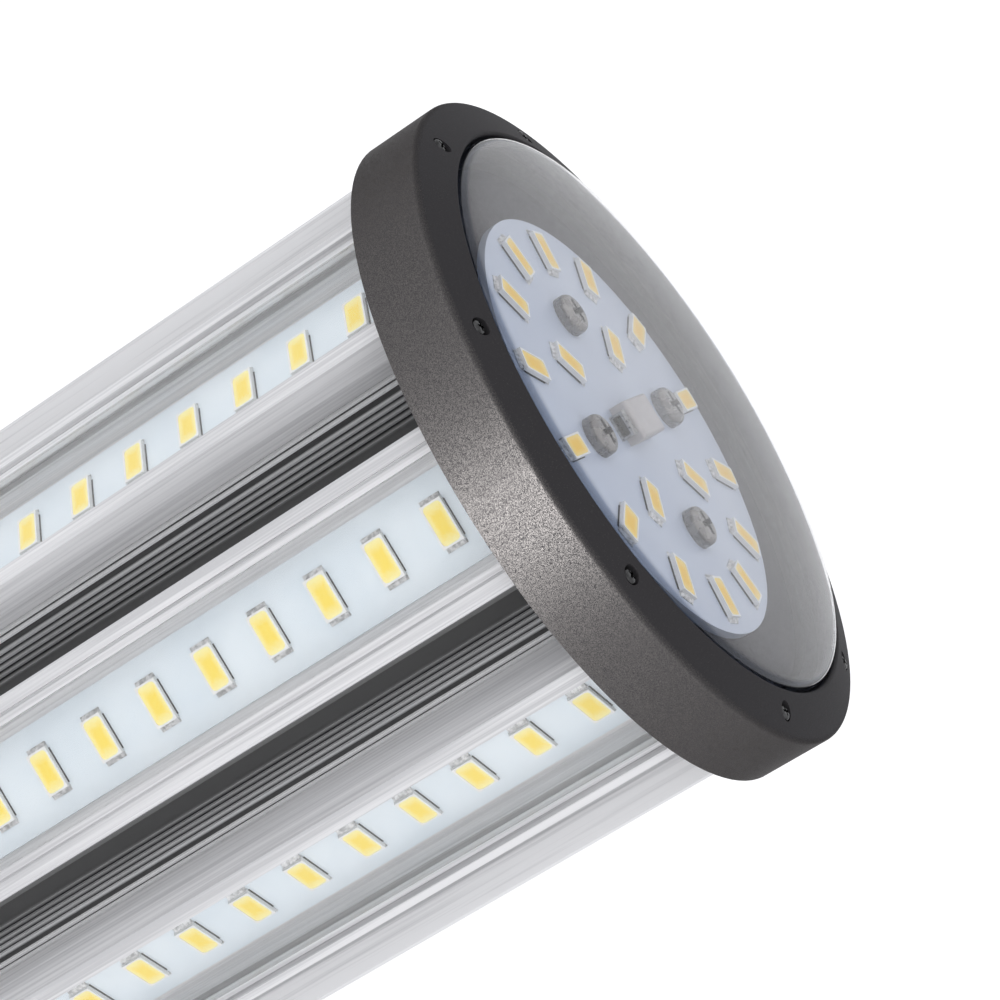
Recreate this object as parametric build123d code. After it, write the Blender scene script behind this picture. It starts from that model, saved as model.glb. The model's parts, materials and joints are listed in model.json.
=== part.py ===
from build123d import *
import math
import os

# LED lamp with eight strips round an extruded heat sink, a clear dome at its head and a screw cap.
# The origin is on the lamp's axis at the tip of the cap's centre contact. +Z runs along the axis
# towards the head, and strip 1 faces +X. Sizes are in millimetres.

# Strips
module_count = 8
leds_per_strip = 18
led_pitch = 8.7
first_led_offset = 16.0
led_length = 5.7
led_width = 3.0
led_height = 0.8
board_side_gap = 2.0
board_thickness = 1.2
board_end_gap = 0.5

# Extrusion, in the section of one module: depth is measured out from the axis, width across it
module_depth = 42.6
module_width = 21.2
corner_chamfer = 0.4
trough_depth = 5.9
trough_wall = 2.6
seat_wall = 1.8
lip_drop = 0.6
lip_thickness = 1.0
lip_reach = 0.5
lip_groove_offset = 0.9
lip_groove_width = 0.4
lip_groove_depth = 0.4
rail_slot_height = 1.6
rail_slot_reach = 1.1
shoulder_drop = 4.25
shoulder_height = 2.25
shoulder_step = 0.7
flank_inset = 1.1
flank_wall = 1.8
ridge_height = 0.5
ridge_root = 0.7
ridge_tip = 0.3
ridge_pitch = 1.06
ridge_break = 1.62
ridge_drop = 0.83
upper_ridge_count = 2
bore_radius = 22.0
hub_wall = 4.5
cavity_floor_wall = 3.6
cavity_fillet = 1.0
port_count = 4

# Clear strip covers
cover_thickness = 1.5
cover_clearance = 0.1
cover_end_gap = 0.2

# End rings
ring_clearance = 1.0
ring_wall = 1.6
ring_width = 9.8
ring_edge_fillet = 0.8
ring_lip_fillet = 0.4
ring_face_width = 6.1
face_rise = 2.0
ring_lip_thickness = 2.2
ring_lip_overlap = 1.2

# Ring screws
ring_screw_count = 8
ring_screw_recess_clearance = 0.15
ring_screw_recess_depth = 0.5
ring_screw_head_radius = 1.1
ring_screw_head_height = 0.9
ring_screw_shank_radius = 0.75
ring_screw_length = 5.2
ring_screw_slot_length = 1.4
ring_screw_slot_width = 0.3
ring_screw_slot_depth = 0.4

# End plates
plate_thickness = 3.2
plate_edge_clearance = 0.1
plate_lead_hole_radius = 4.0
base_plate_ledge = 2.0
boss_radius = 3.6
boss_height = 4.0

# Dome
dome_gap = 0.4
dome_top = 6.5
dome_edge_top = 4.2
dome_corner_radius = 3.6
dome_wall = 1.6
dome_flange_thickness = 1.5
dome_flange_clearance = 0.1
gasket_thickness = 1.5

# End board
end_board_radius = 30.2
outer_led_count = 14
outer_led_inset = 4.9
inner_led_count = 4
inner_led_circle_radius = 14.0
board_screw_count = 4
board_screw_circle_radius = 15.6
connector_length = 10.0
connector_width = 6.0
connector_height = 2.6
clip_length = 1.6
clip_width = 3.4
clip_height = 1.8
clip_wall = 0.35

# Screws that fasten the end board, and the end plates to the extrusion
screw_shank_radius = 1.3
screw_hole_clearance = 0.05
pan_head_radius = 2.75
pan_head_height = 1.9
pan_head_chamfer = 0.8
pan_screw_length = 8.0
pan_slot_length = 3.4
pan_slot_width = 0.75
pan_slot_depth = 0.7
countersunk_head_radius = 2.6
countersunk_head_height = 1.3
countersunk_screw_length = 12.0

# Driver housing, between the base ring and the cap
neck_length = 32.0
neck_wall = 2.2
neck_shoulder_length = 5.0
neck_lap = 0.7
spigot_end_gap = 1.0
spigot_clearance = 0.05
board_slot_depth = 1.2
board_slot_wall = 2.0
board_slot_clearance = 0.05

# Screw cap
thread_major_radius = 19.75
thread_depth = 1.8
thread_pitch = 6.35
thread_turn_count = 3.5
thread_rise = 3.5
thread_run_out = 3.275
thread_round_radius = 2.6
shell_wall = 0.6
shell_skirt_inset = 0.25
shell_skirt_length = 9.0
shell_flare_length = 1.0
shell_lip_z = 7.0
shell_lip_width = 2.15
shell_lip_fillet = 1.5
insulator_height = 5.0
insulator_tip_radius = 7.6
insulator_clearance = 0.05
contact_ledge = 1.2
contact_thickness = 1.2
contact_tip_radius = 4.0
contact_stem_radius = 1.15
contact_stem_clearance = 0.05
contact_stem_top_z = 6.0

# Driver board and what stands on it
driver_board_side_gap = 0.8
driver_board_thickness = 1.6
driver_board_setback = 6.0
driver_board_rise = 18.0
driver_board_near_margin = 7.0
driver_board_far_margin = 4.0
component_gap = 7.0
choke_radius = 7.0
choke_height = 9.0
transformer_width = 24.0
transformer_height = 16.0
transformer_length = 22.0
capacitor_radius = 6.3
capacitor_length = 20.0
capacitor_spacing = 14.0
rectifier_width = 10.0
rectifier_height = 3.0
rectifier_length = 8.0
lead_radius = 0.8
lead_spacing = 3.0
lead_joint_length = 3.5
head_lead_bend_radius = 60.0
head_lead_drop = 24.0
head_lead_cross = 26.0
cap_lead_bend_radius = 6.0
cap_lead_straight = 14.0
shell_lead_offset = 6.0
shell_lead_reach = 12.0
shell_lead_bend_radius = 3.0
shell_lead_z = 28.0

# The module's section
seat_depth = module_depth - trough_depth
strip_board_top = seat_depth + board_thickness
lip_depth = module_depth - lip_drop
rail_slot_high = lip_depth - lip_thickness
rail_slot_low = rail_slot_high - rail_slot_height
shoulder_high = module_depth - shoulder_drop
shoulder_low = shoulder_high - shoulder_height
flank_half_width = module_width / 2 - flank_inset
trough_half_width = module_width / 2 - trough_wall
lip_half_width = trough_half_width - lip_reach
rail_slot_half_width = trough_half_width + rail_slot_reach
channel_floor_radius = bore_radius + hub_wall
cavity_floor_radius = bore_radius + cavity_floor_wall
port_circle_radius = (bore_radius + channel_floor_radius) / 2
module_step = 360 / module_count
between_modules = module_step / 2

# Radii of the head, from the modules' corners inwards
ring_bore_radius = math.hypot(module_depth, module_width / 2) + ring_clearance
ring_radius = ring_bore_radius + ring_wall
opening_radius = ring_radius - ring_face_width
ring_pocket_radius = opening_radius + ring_lip_overlap
flange_radius = ring_pocket_radius - dome_flange_clearance
ring_screw_circle_radius = (ring_pocket_radius + ring_bore_radius) / 2
ring_screw_recess_radius = ring_screw_head_radius + ring_screw_recess_clearance
dome_radius = opening_radius - dome_gap
outer_led_circle_radius = end_board_radius - outer_led_inset
base_plate_hole_radius = bore_radius - base_plate_ledge

# Radii of the cap
thread_minor_radius = thread_major_radius - thread_depth
shell_bore_radius = thread_minor_radius - shell_wall
shell_skirt_radius = thread_major_radius - shell_skirt_inset
shell_lip_radius = shell_bore_radius - shell_lip_width
spigot_radius = shell_skirt_radius - shell_wall - spigot_clearance
neck_end_radius = shell_skirt_radius + neck_lap

# Heights, from the contact's tip to the head
thread_start_z = shell_lip_z + thread_rise
thread_length = thread_pitch * thread_turn_count
flare_z = thread_start_z + thread_length + thread_run_out
skirt_z = flare_z + shell_flare_length
cap_length = skirt_z + shell_skirt_length
base_z = cap_length + neck_length
head_z = base_z + (leds_per_strip - 1) * led_pitch + 2 * first_led_offset
mid_z = (base_z + head_z) / 2
flange_top_drop = ring_lip_thickness - face_rise
plate_drop = flange_top_drop + dome_flange_thickness + gasket_thickness
sink_end_drop = plate_drop + plate_thickness
sink_low_z = base_z + sink_end_drop
sink_high_z = head_z - sink_end_drop
sink_length = sink_high_z - sink_low_z
end_plate_top_z = head_z - plate_drop
end_plate_low_z = end_plate_top_z - plate_thickness
end_board_top_z = end_plate_top_z + board_thickness

# The driver board, as wide as the base plate's hole lets through
driver_face_y = driver_board_thickness / 2 - driver_board_setback
driver_back_y = driver_face_y - driver_board_thickness
driver_board_half_width = math.sqrt(base_plate_hole_radius**2 - driver_back_y**2) - driver_board_side_gap
driver_board_start_z = cap_length + driver_board_rise
choke_start_z = driver_board_start_z + driver_board_near_margin
transformer_start_z = choke_start_z + 2 * choke_radius + component_gap
capacitor_start_z = transformer_start_z + transformer_length + component_gap
rectifier_start_z = capacitor_start_z + capacitor_length + component_gap
driver_board_end_z = rectifier_start_z + rectifier_length + driver_board_far_margin
lead_y = driver_face_y + lead_radius

os.makedirs("parts", exist_ok=True)


def save(shape, node):
    """Writes one sub-part to its own file."""
    shape.label = node
    export_step(shape, f"parts/{node}.step")


def rod(radius, low, high):
    """A round bar on the axis, from one height to another."""
    return Pos(0, 0, low) * Cylinder(radius, high - low, align=(Align.CENTER, Align.CENTER, Align.MIN))


def block(size_x, size_y, size_z, low):
    """A block centred on the axis, with its underside at a height."""
    return Pos(0, 0, low) * Box(size_x, size_y, size_z, align=(Align.CENTER, Align.CENTER, Align.MIN))


def section(points):
    """A flat face in the plane of the axis, from (radius, height) points."""
    return make_face(Plane.XZ * Polyline(*points, close=True))


def turned(points):
    """A turned body from its half section."""
    return revolve(section(points), Axis.Z, 360)


def placed_round(shape, count, radius, first_angle=0.0):
    """Copies of a shape, moved out from the axis and spaced evenly round it."""
    step = 360 / count
    return [Rot(0, 0, first_angle + step * i) * Pos(radius, 0, 0) * shape for i in range(count)]


def facing_base(shape):
    """The same piece at the other end of the lamp."""
    return mirror(shape, Plane.XY.offset(mid_z))


def cross_slot(length, width, depth, top):
    """The cross recess in a screw's head, to be cut away."""
    slot = block(length, width, depth, top - depth)
    return slot + Rot(0, 0, 90) * slot


def ridge_depths():
    """Depths of a flank's ridges, lowest first: a pair under the shoulder, and below a break all that fit."""
    top = shoulder_low - ridge_drop
    upper = [top - ridge_pitch * i for i in range(upper_ridge_count)]
    first_lower = upper[-1] - ridge_break
    lower_count = max(int((first_lower - channel_floor_radius) / ridge_pitch), 0)
    lower = [first_lower - ridge_pitch * i for i in range(lower_count)]
    return sorted(upper + lower)


def flank_points():
    """Half of a module's outline, from the channel's floor up the ribbed flank to the trough."""
    points = [(cavity_floor_radius - seat_wall, flank_half_width)]
    tip_half_width = flank_half_width + ridge_height
    for depth in ridge_depths():
        points.append((depth - ridge_root / 2, flank_half_width))
        points.append((depth - ridge_tip / 2, tip_half_width))
        points.append((depth + ridge_tip / 2, tip_half_width))
        points.append((depth + ridge_root / 2, flank_half_width))
    edge = module_width / 2
    groove_near = lip_half_width + lip_groove_offset
    groove_far = groove_near + lip_groove_width
    groove_floor = lip_depth - lip_groove_depth
    points.append((shoulder_low - ridge_tip / 2, flank_half_width))
    points.append((shoulder_low, flank_half_width + shoulder_step))
    points.append((shoulder_high, edge))
    points.append((module_depth - corner_chamfer, edge))
    points.append((module_depth, edge - corner_chamfer))
    points.append((module_depth, groove_far))
    points.append((groove_floor, groove_far))
    points.append((groove_floor, groove_near))
    points.append((lip_depth, groove_near))
    points.append((lip_depth, lip_half_width))
    points.append((rail_slot_high, lip_half_width))
    points.append((rail_slot_high, rail_slot_half_width))
    points.append((rail_slot_low, rail_slot_half_width))
    points.append((rail_slot_low, trough_half_width))
    points.append((seat_depth, trough_half_width))
    return points


def make_heat_sink():
    """The extrusion: one section, with its hub, eight modules, their hollows and the screw ports."""
    half = flank_points()
    outline = half + [(x, -y) for x, y in reversed(half)]
    module = make_face(Polyline(*outline, close=True))
    ceiling = seat_depth - seat_wall
    hollow_half_width = flank_half_width - flank_wall
    hollow = Pos(ceiling / 2, 0) * Rectangle(ceiling, 2 * hollow_half_width)
    hollow -= Circle(cavity_floor_radius)
    corners = hollow.vertices().group_by(Axis.X)[-1]
    hollow = fillet(corners, cavity_fillet)
    port = Circle(screw_shank_radius + screw_hole_clearance)
    profile = Circle(channel_floor_radius)
    profile += [Rot(0, 0, module_step * i) * module for i in range(module_count)]
    profile -= [Rot(0, 0, module_step * i) * hollow for i in range(module_count)]
    profile -= placed_round(port, port_count, port_circle_radius, between_modules)
    profile -= Circle(bore_radius)
    return Pos(0, 0, sink_low_z) * extrude(profile, sink_length)


def make_strip_board():
    """One strip's circuit board, lying on its seat at +X."""
    length = sink_length - 2 * board_end_gap
    width = 2 * (trough_half_width - board_side_gap)
    board = Box(board_thickness, width, length, align=(Align.MIN, Align.CENTER, Align.CENTER))
    return Pos(seat_depth, 0, mid_z) * board


def make_strip_leds():
    """One strip's LED packages, soldered in a row across the board."""
    package = Box(led_height, led_length, led_width, align=(Align.MIN, Align.CENTER, Align.CENTER))
    first_z = base_z + first_led_offset
    return [Pos(strip_board_top, 0, first_z + led_pitch * i) * package for i in range(leds_per_strip)]


def make_strip_cover():
    """One clear cover: flanges in the rails, and a raised crown between the lips."""
    flange_low = rail_slot_low + cover_clearance / 2
    flange_high = rail_slot_high - cover_clearance / 2
    flange = rail_slot_half_width - cover_clearance
    crown = lip_half_width - cover_clearance
    crown_top = lip_depth - cover_clearance
    inner = crown - cover_thickness
    ceiling = crown_top - cover_thickness
    half = [
        (flange_low, inner),
        (flange_low, flange),
        (flange_high, flange),
        (flange_high, crown),
        (crown_top - cover_clearance, crown),
        (crown_top, crown - cover_clearance),
    ]
    inside = [(ceiling, -inner), (ceiling, inner)]
    outline = half + [(x, -y) for x, y in reversed(half)] + inside
    profile = make_face(Polyline(*outline, close=True))
    length = sink_length - 2 * cover_end_gap
    return Pos(0, 0, sink_low_z + cover_end_gap) * extrude(profile, length)


def make_ring():
    """The cast end ring with its sloping face, the pocket behind its lip and the screw recesses."""
    ring = turned([
        (ring_bore_radius, head_z - ring_width),
        (ring_radius, head_z - ring_width),
        (ring_radius, head_z),
        (opening_radius, head_z + face_rise),
        (opening_radius, head_z - flange_top_drop),
        (ring_pocket_radius, head_z - flange_top_drop),
        (ring_pocket_radius, head_z - plate_drop),
        (ring_bore_radius, head_z - plate_drop),
    ])
    outer_rims = ring.edges().filter_by(GeomType.CIRCLE).group_by(SortBy.RADIUS)[-1]
    ring = fillet(outer_rims.sort_by(Axis.Z)[-1], ring_edge_fillet)
    rims = ring.edges().filter_by(GeomType.CIRCLE)
    ring = fillet(rims.sort_by(Axis.Z)[-1], ring_lip_fillet)
    recess = rod(ring_screw_recess_radius, head_z - ring_screw_recess_depth, head_z + face_rise)
    hole = rod(ring_screw_shank_radius + screw_hole_clearance, head_z - plate_drop, head_z)
    ring -= placed_round(recess + hole, ring_screw_count, ring_screw_circle_radius, between_modules)
    return ring


def make_ring_screws():
    """The ring's screws, with their heads on the floors of the recesses."""
    floor = head_z - ring_screw_recess_depth
    top = floor + ring_screw_head_height
    screw = rod(ring_screw_head_radius, floor, top)
    screw += rod(ring_screw_shank_radius, floor - ring_screw_length, floor)
    screw -= cross_slot(ring_screw_slot_length, ring_screw_slot_width, ring_screw_slot_depth, top)
    return placed_round(screw, ring_screw_count, ring_screw_circle_radius, between_modules)


def make_plate(lead_hole_radius):
    """An end plate, with tapped holes for the ring's screws and sinks for its own."""
    plate = rod(ring_bore_radius - plate_edge_clearance, end_plate_low_z, end_plate_top_z)
    tapped_radius = ring_screw_shank_radius + screw_hole_clearance
    tapped = rod(tapped_radius, end_plate_low_z, end_plate_top_z)
    plate -= placed_round(tapped, ring_screw_count, ring_screw_circle_radius, between_modules)
    plate -= placed_round(countersunk(screw_hole_clearance), port_count, port_circle_radius, between_modules)
    plate -= rod(lead_hole_radius, end_plate_low_z, end_plate_top_z)
    return plate


def countersunk(clearance):
    """A countersunk screw, or with a clearance the hole that it goes in."""
    shank_radius = screw_shank_radius + clearance
    head = Cone(
        shank_radius,
        countersunk_head_radius + clearance,
        countersunk_head_height,
        align=(Align.CENTER, Align.CENTER, Align.MAX),
    )
    shank = rod(shank_radius, end_plate_top_z - countersunk_screw_length, end_plate_top_z)
    return Pos(0, 0, end_plate_top_z) * head + shank


def make_plate_screws():
    """The countersunk screws that hold an end plate on the extrusion."""
    return placed_round(countersunk(0.0), port_count, port_circle_radius, between_modules)


def make_end_plate():
    """The head's plate, with a boss under each of the end board's screws."""
    boss_low_z = end_plate_low_z - boss_height
    plate = make_plate(plate_lead_hole_radius)
    boss = rod(boss_radius, boss_low_z, end_plate_low_z)
    plate += placed_round(boss, board_screw_count, board_screw_circle_radius)
    hole = rod(screw_shank_radius + screw_hole_clearance, boss_low_z, end_plate_top_z)
    plate -= placed_round(hole, board_screw_count, board_screw_circle_radius)
    return plate


def dome_section(radius, top, edge_top, corner, low):
    """Half of a shallow cap's section: a straight side, a rounded corner and a crowned top."""
    sag = top - edge_top
    crown_radius = (radius**2 + sag**2) / (2 * sag)
    side = Polyline((0, top), (0, low), (radius, low), (radius, edge_top))
    crown = RadiusArc((radius, edge_top), (0, top), -crown_radius)
    if (crown @ 0.5).Y < (top + edge_top) / 2:
        crown = RadiusArc((radius, edge_top), (0, top), crown_radius)
    face = make_face([side, crown])
    shoulder = face.vertices().sort_by_distance((radius, edge_top))[0]
    return fillet(shoulder, corner)


def make_dome():
    """The clear dome, with the flange that the ring holds down."""
    flange_top = -flange_top_drop
    flange_low = flange_top - dome_flange_thickness
    inside = dome_radius - dome_wall
    inside_corner = dome_corner_radius - dome_wall
    outer = dome_section(dome_radius, dome_top, dome_edge_top, dome_corner_radius, flange_low)
    hollow = dome_section(inside, dome_top - dome_wall, dome_edge_top - dome_wall, inside_corner, flange_low)
    dome = revolve(Plane.XZ * outer, Axis.Z, 360)
    dome += rod(flange_radius, flange_low, flange_top)
    dome -= revolve(Plane.XZ * hollow, Axis.Z, 360)
    return Pos(0, 0, head_z) * dome


def make_gasket():
    """The flat sealing ring under the dome's flange."""
    top = end_plate_top_z + gasket_thickness
    return rod(flange_radius, end_plate_top_z, top) - rod(dome_radius - dome_wall, end_plate_top_z, top)


def make_end_board():
    """The round LED board, with its screw holes and the way through for the leads."""
    board = rod(end_board_radius, end_plate_top_z, end_board_top_z)
    hole = rod(screw_shank_radius + screw_hole_clearance, end_plate_top_z, end_board_top_z)
    board -= placed_round(hole, board_screw_count, board_screw_circle_radius)
    lead_hole = rod(lead_radius + screw_hole_clearance, end_plate_top_z, end_board_top_z)
    board -= [Pos(x, 0, 0) * lead_hole for x in (-lead_spacing / 2, lead_spacing / 2)]
    return board


def make_end_leds():
    """The LEDs of the end board, each with its long side pointing at the axis."""
    package = block(led_length, led_width, led_height, end_board_top_z)
    outer = placed_round(package, outer_led_count, outer_led_circle_radius)
    inner = placed_round(package, inner_led_count, inner_led_circle_radius, 180 / inner_led_count)
    return outer + inner


def make_board_screws():
    """The pan-head screws that hold the end board on the plate's bosses."""
    top = end_board_top_z + pan_head_height
    head = rod(pan_head_radius, end_board_top_z, top)
    rim = head.edges().filter_by(GeomType.CIRCLE).sort_by(Axis.Z)[-1]
    screw = chamfer(rim, pan_head_chamfer)
    screw += rod(screw_shank_radius, end_board_top_z - pan_screw_length, end_board_top_z)
    screw -= cross_slot(pan_slot_length, pan_slot_width, pan_slot_depth, top)
    return placed_round(screw, board_screw_count, board_screw_circle_radius)


def make_connector():
    """The white terminal in the middle of the end board."""
    body = block(connector_length, connector_width, connector_height, end_board_top_z)
    rim = body.edges().group_by(Axis.Z)[-1]
    return chamfer(rim, clip_wall)


def make_connector_clip():
    """The terminal's metal cage, which stands out of its end."""
    cage = block(clip_length, clip_width, clip_height, end_board_top_z)
    mouth_width = clip_width - 2 * clip_wall
    mouth_height = clip_height - 2 * clip_wall
    cage -= block(clip_length, mouth_width, mouth_height, end_board_top_z + clip_wall)
    return Pos((connector_length + clip_length) / 2, 0, 0) * cage


def bell(inset, top, bottom, plug_radius):
    """A solid bell: a straight side, a curve in to the narrow end, and a plug below it."""
    wide = dome_radius - inset
    narrow = neck_end_radius - inset
    shoulder_z = base_z - neck_shoulder_length
    middle = ((wide + narrow) / 2, (shoulder_z + cap_length) / 2)
    upper = TangentArc((wide, shoulder_z), middle, tangent=(0, -1))
    lower = TangentArc((narrow, cap_length), middle, tangent=(0, 1))
    outline = Polyline(
        (narrow, cap_length),
        (plug_radius, cap_length),
        (plug_radius, bottom),
        (0, bottom),
        (0, top),
        (wide, top),
        (wide, shoulder_z),
    )
    return revolve(Plane.XZ * make_face([outline, upper, lower]), Axis.Z, 360)


def make_driver_housing():
    """The plastic neck: a flange under the base ring, a spigot in the cap, and slots for the board."""
    flange_low = base_z + flange_top_drop
    flange_high = base_z + plate_drop
    bottom = skirt_z + spigot_end_gap
    housing = bell(0.0, flange_high, bottom, spigot_radius)
    housing += rod(flange_radius, flange_low, flange_high)
    hollow = bell(neck_wall, flange_high, bottom, spigot_radius - neck_wall)
    rail_depth = driver_board_thickness + 2 * board_slot_wall
    rail_height = flange_high - driver_board_start_z
    rail = block(2 * dome_radius, rail_depth, rail_height, driver_board_start_z)
    between = 2 * (driver_board_half_width - board_slot_depth)
    rail -= block(between, rail_depth, rail_height, driver_board_start_z)
    slot_thickness = driver_board_thickness + 2 * board_slot_clearance
    slot_width = 2 * (driver_board_half_width + board_slot_clearance)
    rail -= block(slot_width, slot_thickness, rail_height, driver_board_start_z)
    rail = Pos(0, -driver_board_setback, 0) * rail
    return housing - hollow + (rail & hollow)


def make_driver_board():
    """The driver's circuit board, standing along the axis in the housing's slots."""
    length = driver_board_end_z - driver_board_start_z
    board = block(2 * driver_board_half_width, driver_board_thickness, length, driver_board_start_z)
    return Pos(0, -driver_board_setback, 0) * board


def on_driver_board(width, height, length, start_z):
    """A block that stands on the driver board's face, from a height on along it."""
    return Pos(0, driver_face_y + height / 2, 0) * block(width, height, length, start_z)


def make_transformer():
    """The driver's transformer, a plain body of its outer size."""
    return on_driver_board(transformer_width, transformer_height, transformer_length, transformer_start_z)


def make_capacitors():
    """Two capacitors lying side by side on the board."""
    can = rod(capacitor_radius, capacitor_start_z, capacitor_start_z + capacitor_length)
    y = driver_face_y + capacitor_radius
    return [Pos(x, y, 0) * can for x in (-capacitor_spacing / 2, capacitor_spacing / 2)]


def make_choke():
    """The filter choke, a ring core standing flat on the board."""
    core = rod(choke_radius, 0, choke_height) - rod(choke_radius / 2, 0, choke_height)
    return Pos(0, driver_face_y, choke_start_z + choke_radius) * (Rot(-90, 0, 0) * core)


def make_rectifier():
    """The rectifier's flat package."""
    return on_driver_board(rectifier_width, rectifier_height, rectifier_length, rectifier_start_z)


def lead(path):
    """An insulated wire along a path."""
    start = Plane(origin=path @ 0, z_dir=path % 0)
    return sweep(start * Circle(lead_radius), path)


def make_head_leads():
    """The pair of wires from the driver's far end, up the bore, to the end board's terminal."""
    start_z = driver_board_end_z - lead_joint_length
    bend_z = start_z + head_lead_drop
    points = [(lead_y, start_z), (lead_y, bend_z), (0, bend_z + head_lead_cross), (0, end_board_top_z)]
    wires = []
    for x in (-lead_spacing / 2, lead_spacing / 2):
        plane = Plane(origin=(x, 0, 0), x_dir=(0, 1, 0), z_dir=(1, 0, 0))
        wires.append(lead(plane * FilletPolyline(*points, radius=head_lead_bend_radius)))
    return wires


def make_cap_leads():
    """The two wires from the driver's near end, to the centre contact and to the shell."""
    start_z = driver_board_start_z + lead_joint_length
    bend_z = start_z - cap_lead_straight
    cross_z = bend_z - cap_lead_straight
    centre = [(lead_y, start_z), (lead_y, bend_z), (0, cross_z), (0, contact_stem_top_z)]
    centre_plane = Plane(origin=(0, 0, 0), x_dir=(0, 1, 0), z_dir=(1, 0, 0))
    wall_x = math.sqrt(shell_bore_radius**2 - (abs(lead_y) + lead_radius) ** 2)
    side = [
        (shell_lead_offset, start_z),
        (shell_lead_offset, bend_z),
        (shell_lead_reach, cross_z),
        (shell_lead_reach, shell_lead_z),
        (wall_x, shell_lead_z),
    ]
    side_plane = Plane(origin=(0, lead_y, 0), x_dir=(1, 0, 0), z_dir=(0, -1, 0))
    return [
        lead(centre_plane * FilletPolyline(*centre, radius=cap_lead_bend_radius)),
        lead(side_plane * FilletPolyline(*side, radius=shell_lead_bend_radius)),
    ]


def make_cap_shell():
    """The thin metal shell, with its rounded helical thread, plain skirt and turned-in lip."""
    core = rod(thread_minor_radius, shell_lip_z, flare_z)
    corner = core.edges().filter_by(GeomType.CIRCLE).sort_by(Axis.Z)[0]
    core = fillet(corner, shell_lip_fillet)
    core += turned([
        (0, flare_z),
        (thread_minor_radius, flare_z),
        (shell_skirt_radius, skirt_z),
        (shell_skirt_radius, cap_length),
        (0, cap_length),
    ])
    helix = Helix(thread_pitch, thread_length, thread_major_radius - thread_round_radius)
    path = Pos(0, 0, thread_start_z) * helix
    start = Plane(origin=path @ 0, z_dir=path % 0)
    core += sweep(start * Circle(thread_round_radius), path, is_frenet=True)
    core -= turned([
        (0, shell_lip_z + shell_wall),
        (shell_bore_radius, shell_lip_z + shell_wall),
        (shell_bore_radius, flare_z),
        (shell_skirt_radius - shell_wall, skirt_z),
        (shell_skirt_radius - shell_wall, cap_length),
        (0, cap_length),
    ])
    return core - rod(shell_lip_radius, shell_lip_z, shell_lip_z + shell_wall)


def make_cap_insulator():
    """The insulating cone between the shell's lip and the centre contact."""
    seat_z = shell_lip_z + shell_wall
    top_z = shell_lip_z + insulator_height
    inside = shell_bore_radius - insulator_clearance
    neck = shell_lip_radius - insulator_clearance
    stem_hole = contact_stem_radius + contact_stem_clearance
    return turned([
        (stem_hole, contact_thickness),
        (insulator_tip_radius, contact_thickness),
        (neck, shell_lip_z),
        (neck, seat_z),
        (inside, seat_z),
        (inside, top_z),
        (stem_hole, top_z),
    ])


def make_cap_contact():
    """The centre contact: a shallow button with a stem through the insulator."""
    radius = insulator_tip_radius - contact_ledge
    return turned([
        (0, 0),
        (contact_tip_radius, 0),
        (radius, contact_thickness / 2),
        (radius, contact_thickness),
        (contact_stem_radius, contact_thickness),
        (contact_stem_radius, contact_stem_top_z),
        (0, contact_stem_top_z),
    ])


def group(solids):
    """Separate pieces of one kind, kept together in one file."""
    return Compound(children=list(solids))


save(make_heat_sink(), "heat_sink")
strip_board = make_strip_board()
strip_leds = make_strip_leds()
strip_cover = make_strip_cover()
for i in range(module_count):
    turn = Rot(0, 0, module_step * i)
    save(turn * strip_board, f"strip_board_{i + 1}")
    save(group(turn * package for package in strip_leds), f"strip_leds_{i + 1}")
    save(turn * strip_cover, f"strip_cover_{i + 1}")

head_ring = make_ring()
head_screws = make_ring_screws()
plate_screws = make_plate_screws()
save(head_ring, "head_ring")
save(group(head_screws), "head_screws")
save(make_dome(), "dome_cover")
save(make_gasket(), "dome_gasket")
save(make_end_plate(), "end_plate")
save(group(plate_screws), "plate_screws")
save(make_end_board(), "end_board")
save(group(make_end_leds()), "end_leds")
save(group(make_board_screws()), "board_screws")
save(make_connector(), "end_connector")
save(make_connector_clip(), "connector_clip")

save(facing_base(head_ring), "base_ring")
save(group(facing_base(screw) for screw in head_screws), "base_screws")
save(facing_base(make_plate(base_plate_hole_radius)), "base_plate")
save(group(facing_base(screw) for screw in plate_screws), "base_plate_screws")
save(make_driver_housing(), "driver_housing")
save(make_driver_board(), "driver_board")
save(make_transformer(), "driver_transformer")
save(group(make_capacitors()), "driver_capacitors")
save(make_choke(), "driver_choke")
save(make_rectifier(), "driver_rectifier")
save(group(make_head_leads()), "head_leads")
save(group(make_cap_leads()), "cap_leads")
save(make_cap_shell(), "cap_shell")
save(make_cap_insulator(), "cap_insulator")
save(make_cap_contact(), "cap_contact")
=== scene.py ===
# %% [markdown]
# # A tubular LED lamp, dressed for a studio picture
# The lamp's solids come from its CAD model: an extruded heat sink with eight LED strips, clear
# covers, two cast end rings, a clear dome and a screw cap. Blender adds what a solid model can't
# show: the finishes, and the small soldered and moulded pieces that are seen through the covers.

import bmesh
import bpy
import json
import math
from mathutils import Matrix, Quaternion, Vector


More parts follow.
